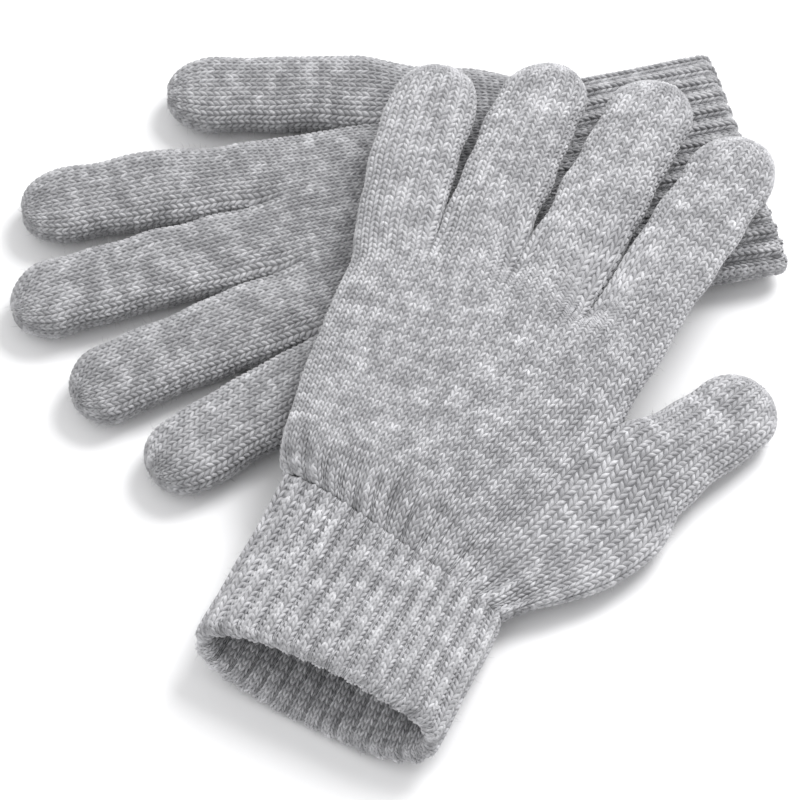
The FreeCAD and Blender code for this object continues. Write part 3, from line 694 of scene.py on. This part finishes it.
def cuffGrids(glove, wristRing):
    own = glove.own
    mouthTall = own["mouthTall"]
    length, wall = shape["cuffLength"], shape["wall"]
    spacing = np.tile(ribSpread, 10 * shape["wales"] // len(ribSpread))
    fold = cuffRows["fold"]
    profile = [(length - fold) * k / cuffRows["outer"] for k in range(cuffRows["outer"] + 1)]
    path = [(d, wall) for d in profile]
    for k in range(1, cuffRows["rim"]):
        turn = math.pi * k / cuffRows["rim"]
        path.append((length - fold + fold * math.sin(turn), wall + fold * (1 - math.cos(turn))))
    rowHeight = knit["row"] / mm
    path += [(length - fold - rowHeight * k, wall + 2 * fold) for k in range(cuffRows["inner"] + 1)]
    rings = []
    for d, inset in path:
        share = smooth(d / length) if glove.side == "left" else d / length
        edges = [a + (b - a) * d / length for a, b in zip(own["wristEdges"], own["mouthEdges"])]
        half = (edges[0] - edges[1]) / 2 - inset
        middle = (edges[0] + edges[1]) / 2
        tall = (shape["thick"] + (mouthTall - shape["thick"]) * share) / 2 - inset
        y, z = ovalRing(spacing, half, tall, shape["power"] - 0.3 * share)
        lean = own["skew"] * y * (1 - d / length)
        low = 0.5 - z / mouthTall  # 1 at the underside of the mouth, 0 at its top
        toThumb = smooth(0.5 - y / (2 * half))
        further = own["reach"][0] + (own["reach"][1] - own["reach"][0]) * toThumb * (0.35 + 0.65 * low)
        further = further + own["reach"][2] * smooth(low)
        rings.append(np.stack([-d + lean - further * smooth(d / length), y + middle, z], axis=1))
    rings = np.array(rings)
    centre = np.array([(mouthTall / 2 - shape["thick"] / 2) * smooth(d / 40) for d, inset in path])
    base = glove.drop(rings[..., 0] * 0, rings[..., 1])
    fade = np.array([1 - smooth(d / 36) for d, inset in path])
    rings[..., 2] += shape["thick"] / 2 + centre[:, None] + base * fade[:, None]
    fadeIn = np.array([1 - smooth(k / 5) for k in range(len(path))])
    rings = rings + (wristRing - rings[0])[None] * fadeIn[:, None, None]
    return closeRing(rings)


def ribRelief(grid, strength):
    # the knit ribs stand out and the purl columns lie back
    out = gridNormals(grid)
    column = np.arange(grid.shape[1]) % len(ribSpread)
    proud = np.where(column == 1, 1.0, -1.0)
    return grid + out * (proud[None, :] * strength[:, None])[..., None]


def gathers(grid, rows, seed):
    # pleats where the rib draws the palm in
    out = gridNormals(grid)
    column = np.arange(grid.shape[1]) % (grid.shape[1] - 1)
    wave = np.array([noise.noise(Vector((c * 0.33, seed, 0.7))) for c in column])
    wave[-1] = wave[0]
    fade = smooth(np.arange(rows) / 3) * (1 - smooth((np.arange(rows) - 4) / 10))
    return grid + out * (wave[None] * fade[:, None] * 2.6)[..., None]


elastic = {
    "rows": 5,
    "sides": 6,
    "radius": 0.35 * mm,
    "fromRim": 4,        # stitch rows between the fold and the first elastic row
    "outerRows": 15,     # stitch rows that the elastic rows are spread over, in each layer
    "innerRows": 12,
    "twist": 0.9,        # turn from one point of a ring to the next
}


def elasticPiece(glove, side, outerGrid, innerGrid):
    # rings of elastic yarn laid in between the cuff's two layers
    points, faces = [], []
    sides, around = elastic["sides"], 10 * shape["wales"]
    for k in range(1, elastic["rows"] + 1):
        place = k / (elastic["rows"] + 1)
        a = outerGrid[int(round(place * elastic["outerRows"])) + elastic["fromRim"], :-1]
        b = innerGrid[-(int(round(place * elastic["innerRows"])) + elastic["fromRim"]), :-1]
        outward = a - b
        outward /= np.linalg.norm(outward, axis=1, keepdims=True)
        line = (a + b) / 2
        ahead = np.array((*glove.heading, 0.0))
        base = len(points)
        for c in range(around):
            for q in range(sides):
                turn = 2 * math.pi * q / sides + c * elastic["twist"]
                points.append(line[c] + elastic["radius"] * (math.cos(turn) * outward[c]
                                                              + math.sin(turn) * ahead))
        for c in range(around):
            for q in range(sides):
                e, f = base + c * sides, base + (c + 1) % around * sides
                faces.append((e + q, e + (q + 1) % sides, f + (q + 1) % sides, f + q))
    mesh = bpy.data.meshes.new(side + "CuffElastic")
    mesh.from_pydata([tuple(p) for p in points], [], faces)
    mesh.materials.append(elasticMaterial)
    mesh.polygons.foreach_set("use_smooth", [True] * len(mesh.polygons))
    piece = bpy.data.objects.new(side + "CuffElastic", mesh)
    bpy.context.scene.collection.objects.link(piece)
    return piece


for side in ("right", "left"):
    glove, grids = buildGlove(side)
    done = {}
    for name, (grid, spots) in grids.items():
        done[name] = liftGrid(glove, name, grid, spots)
    cuff = cuffGrids(glove, done["low"][0][:-1])[::-1]  # rows now run from the hidden end to the wrist
    rows = done["low"].shape[0]
    fadeRib = (1 - smooth(np.arange(rows) / 8)) * (0.45 + 0.55 * smooth(np.arange(rows) / 3))
    done["low"] = ribRelief(done["low"], fadeRib * 0.95)
    done["low"] = gathers(done["low"], rows, 3.0 if side == "left" else 8.0)
    fromFold = np.arange(cuff.shape[0]) - cuffRows["inner"]
    toWrist = cuff.shape[0] - 1 - np.arange(cuff.shape[0])
    ribStrength = (0.35 + 0.6 * smooth(fromFold / 9)) * (0.45 + 0.55 * smooth(toWrist / 3))
    cuff = ribRelief(cuff, ribStrength)
    seed = 5.0 if side == "left" else 40.0
    for name in done:
        done[name] = rough(done[name], 1.0, 17.0, seed)
    cuff = rough(cuff, 0.7, 20.0, seed)
    world = {name: glove.world(grid) for name, grid in done.items()}
    cuff = glove.world(cuff)
    palm = side + "_palm"
    n, low, high = shape["wales"], shape["lowRows"], shape["highRows"]
    rim = cuffRows["outer"] + cuffRows["rim"] // 2
    front = [(world["low"][:, :5 * n + 1], 0, 0, False), (world["high"][:, :4 * n + 1], 0, low, False)]
    back = [(world["low"][:, 5 * n:], 5 * n, 0, False), (world["high"][:, 4 * n:], 6 * n, low, False)]
    upper = knitPiece(side + "HandUpper", side, front)
    under = knitPiece(side + "HandUnder", side, back)
    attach(upper, palm)
    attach(under, palm)
    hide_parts(side + "_hand")
    for m, digit in enumerate((*fingers, "thumb")):
        tube = (world[digit], digitColumns * (m + 1), low + high, True)
        piece = knitPiece(side + digit.capitalize(), side, [tube])
        body = side + "_" + digit
        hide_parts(body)
        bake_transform(piece)
    outer = knitPiece(side + "CuffRib", side, [(cuff[-rim - 1:], 0, cuffRows["firstOuter"], False)])
    inner = knitPiece(side + "CuffFacing", side, [(cuff[:-rim], 0, cuffRows["firstInner"], False)])
    laid = elasticPiece(glove, side, cuff[-rim - 1:], cuff[:-rim])
    for piece, node, slot in ((outer, "_cuff_rib", "ribbed_knit"), (inner, "_cuff_facing", "ribbed_knit"),
                              (laid, "_cuff_elastic", "elastic_yarn")):
        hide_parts(side + node)
        if side == "left":
            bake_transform(piece)
        else:
            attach(piece, palm)
    print(side, "glove knitted")


# table, light and camera
stage = {
    "floor": "#f4f4f5",
    "floorReach": 3.0,
    "world": "#ffffff",
    "worldStrength": 0.75,
    "key": {"place": (0.75, 0.75, 1.2), "size": 0.8, "power": 24.0},
    "fill": {"place": (-0.9, -0.4, 1.0), "size": 1.4, "power": 4.0},
    "elevation": 55.0,
    "distance": 1.5,
    "lens": 226.1,
    "aim": (0.0004545, -0.001478, 0.0),
}


def addFloor():
    mesh = bpy.data.meshes.new("table")
    reach = stage["floorReach"]
    mesh.from_pydata([(-reach, -reach, 0), (reach, -reach, 0), (reach, reach, 0), (-reach, reach, 0)], [],
                     [(0, 1, 2, 3)])
    table = bpy.data.objects.new("table", mesh)
    bpy.context.scene.collection.objects.link(table)
    material = bpy.data.materials.new("paleTable")
    material.use_nodes = True
    shader = material.node_tree.nodes["Principled BSDF"]
    shader.inputs["Base Color"].default_value = linear(stage["floor"])
    shader.inputs["Roughness"].default_value = 0.9
    shader.inputs["Specular IOR Level"].default_value = 0.1
    mesh.materials.append(material)


def addLight(name):
    wanted = stage[name]
    lamp = bpy.data.lights.new(name, "AREA")
    lamp.shape = "SQUARE"
    lamp.size = wanted["size"]
    lamp.energy = wanted["power"]
    item = bpy.data.objects.new(name, lamp)
    bpy.context.scene.collection.objects.link(item)
    item.location = wanted["place"]
    item.rotation_euler = (-Vector(wanted["place"])).to_track_quat("-Z", "Y").to_euler()


def addCamera():
    lens = bpy.data.cameras.new("view")
    lens.lens = stage["lens"]
    lens.sensor_width = 36.0
    lens.clip_start = 0.05
    lens.clip_end = 20.0
    camera = bpy.data.objects.new("view", lens)
    bpy.context.scene.collection.objects.link(camera)
    aim = Vector(stage["aim"])
    tilt = math.radians(stage["elevation"])
    way = Vector((0.0, -math.cos(tilt), math.sin(tilt)))
    camera.location = aim + way * stage["distance"]
    camera.rotation_euler = (-way).to_track_quat("-Z", "Y").to_euler()
    bpy.context.scene.camera = camera


addFloor()
addLight("key")
addLight("fill")
world = bpy.data.worlds.new("studio")
world.use_nodes = True
world.node_tree.nodes["Background"].inputs["Color"].default_value = linear(stage["world"])
world.node_tree.nodes["Background"].inputs["Strength"].default_value = stage["worldStrength"]
bpy.context.scene.world = world
addCamera()
bpy.context.scene.view_settings.view_transform = "Standard"

print("scene ready")
